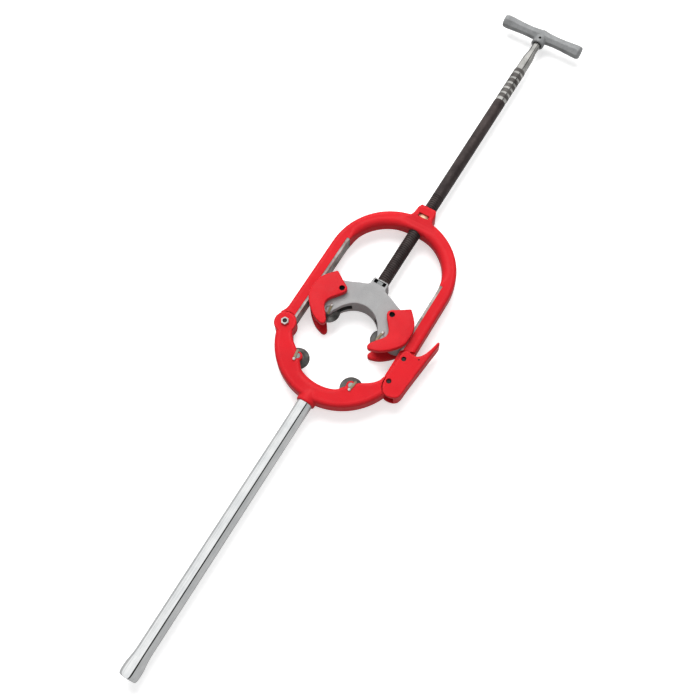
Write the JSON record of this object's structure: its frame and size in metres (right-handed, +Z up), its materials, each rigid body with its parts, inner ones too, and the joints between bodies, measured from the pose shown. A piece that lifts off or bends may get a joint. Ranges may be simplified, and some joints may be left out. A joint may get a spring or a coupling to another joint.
{
  "type": "hinged pipe cutter",
  "caption": "Hinged steel pipe cutter: looped red frame with latch, cutter wheels round the pipe, long black feed screw with T-handle and tubular steel handle.",
  "frame": {"origin": "bottom centre of the whole tool's box, lying on its back face with the jaw closed and latched", "axes": "+X from the hinge to the latch, +Y along the feed screw from the handle's end to the T-handle, +Z up, out of the front face"},
  "size_m": [0.2672, 1.3902, 0.0528],
  "materials": {
    "upper_frame": "thick gloss enamel over rough casting, bare machined rails",
    "lower_frame": "thick gloss enamel over rough casting",
    "latch_lever": "thick gloss enamel over rough casting",
    "guide_plate_front_left": "gloss enamel over casting",
    "plate_screw_front_left": "black oxide",
    "guide_plate_front_right": "gloss enamel over casting",
    "plate_screw_front_right": "black oxide",
    "guide_plate_back_left": "gloss enamel over casting",
    "plate_screw_back_left": "black oxide",
    "guide_plate_back_right": "gloss enamel over casting",
    "plate_screw_back_right": "black oxide",
    "feed_nut": "machined bronze",
    "feed_nut_screw": "black oxide",
    "handle_set_screw": "black oxide",
    "hinge_bolt": "zinc plated",
    "hinge_nut": "zinc plated",
    "hinge_washer": "zinc plated",
    "latch_pivot_pin": "dark steel, oiled",
    "latch_catch_pin": "dark steel, oiled",
    "latch_spring": "spring steel",
    "handle_tube": "bright plated, lightly scuffed",
    "lower_left_wheel": "hardened tool steel, dark",
    "lower_left_pin": "bright steel",
    "lower_left_clip": "yellow zinc plate",
    "lower_right_wheel": "hardened tool steel, dark",
    "lower_right_pin": "bright steel",
    "lower_right_clip": "yellow zinc plate",
    "upper_left_wheel": "hardened tool steel, dark",
    "upper_left_pin": "bright steel",
    "upper_left_clip": "yellow zinc plate",
    "upper_right_wheel": "hardened tool steel, dark",
    "upper_right_pin": "bright steel",
    "upper_right_clip": "yellow zinc plate",
    "yoke": "silver-grey painted casting",
    "screw_keeper": "plain steel",
    "thrust_washer": "hardened, ground",
    "feed_screw": "black oxide, oiled, with bright rings and a bright neck",
    "t_handle": "plated forging, faceted",
    "t_handle_pin": "black oxide"
  },
  "bodies": {
    "frame": {"upper_frame": "upper_frame", "feed_nut": "feed_nut", "feed_nut_screw": "feed_nut_screw", "hinge_bolt": "hinge_bolt", "hinge_nut": "hinge_nut", "hinge_washer": "hinge_washer", "latch_pivot_pin": "latch_pivot_pin", "latch_spring": "latch_spring"},
    "jaw": {"lower_frame": "lower_frame", "latch_catch_pin": "latch_catch_pin", "handle_tube": "handle_tube", "handle_set_screw": "handle_set_screw", "lower_left_pin": "lower_left_pin", "lower_right_pin": "lower_right_pin", "lower_left_clip": "lower_left_clip", "lower_right_clip": "lower_right_clip"},
    "latch": {"latch_lever": "latch_lever"},
    "slide": {"yoke": "yoke", "guide_plate_front_left": "guide_plate_front_left", "guide_plate_front_right": "guide_plate_front_right", "guide_plate_back_left": "guide_plate_back_left", "guide_plate_back_right": "guide_plate_back_right", "plate_screw_front_left": "plate_screw_front_left", "plate_screw_front_right": "plate_screw_front_right", "plate_screw_back_left": "plate_screw_back_left", "plate_screw_back_right": "plate_screw_back_right", "upper_left_pin": "upper_left_pin", "upper_right_pin": "upper_right_pin", "upper_left_clip": "upper_left_clip", "upper_right_clip": "upper_right_clip", "screw_keeper": "screw_keeper", "thrust_washer": "thrust_washer"},
    "screw": {"feed_screw": "feed_screw", "t_handle": "t_handle", "t_handle_pin": "t_handle_pin"},
    "wheel_lower_left": {"lower_left_wheel": "lower_left_wheel"},
    "wheel_lower_right": {"lower_right_wheel": "lower_right_wheel"},
    "wheel_upper_left": {"upper_left_wheel": "upper_left_wheel"},
    "wheel_upper_right": {"upper_right_wheel": "upper_right_wheel"}
  },
  "joints": [
    {"name": "frame_hinge", "type": "hinge", "parent": "frame", "child": "jaw", "pos_m": [-0.11415, -0.0856, 0.0264], "axis": [0, 0, -1], "range_deg": [0, 90]},
    {"name": "latch_lever_pivot", "type": "hinge", "parent": "frame", "child": "latch", "pos_m": [0.09485, -0.0431, 0.0264], "axis": [0, 0, 1], "range_deg": [0, 18], "stiffness_Nm_per_rad": 3, "springref_deg": -17.19},
    {"name": "yoke_slide", "type": "slide", "parent": "frame", "child": "slide", "axis": [0, 1, 0], "range_m": [-0.0082, 0.0824]},
    {"name": "screw_spin", "type": "hinge", "parent": "slide", "child": "screw", "pos_m": [-0.01015, -0.0651, 0.0264], "axis": [0, 1, 0], "range_deg": [-675, 6950]},
    {"name": "lower_left_wheel_spin", "type": "hinge", "parent": "jaw", "child": "wheel_lower_left", "pos_m": [-0.06265, -0.1277, 0.0264], "axis": [0, 0, 1], "continuous": true},
    {"name": "lower_right_wheel_spin", "type": "hinge", "parent": "jaw", "child": "wheel_lower_right", "pos_m": [0.04235, -0.1277, 0.0264], "axis": [0, 0, 1], "continuous": true},
    {"name": "upper_left_wheel_spin", "type": "hinge", "parent": "slide", "child": "wheel_upper_left", "pos_m": [-0.06265, -0.0276, 0.0264], "axis": [0, 0, 1], "continuous": true},
    {"name": "upper_right_wheel_spin", "type": "hinge", "parent": "slide", "child": "wheel_upper_right", "pos_m": [0.04235, -0.0276, 0.0264], "axis": [0, 0, 1], "continuous": true}
  ],
  "couplings": [
    {"joint": "yoke_slide", "follows": "screw_spin", "m_per_rad": 0.00067375}
  ]
}
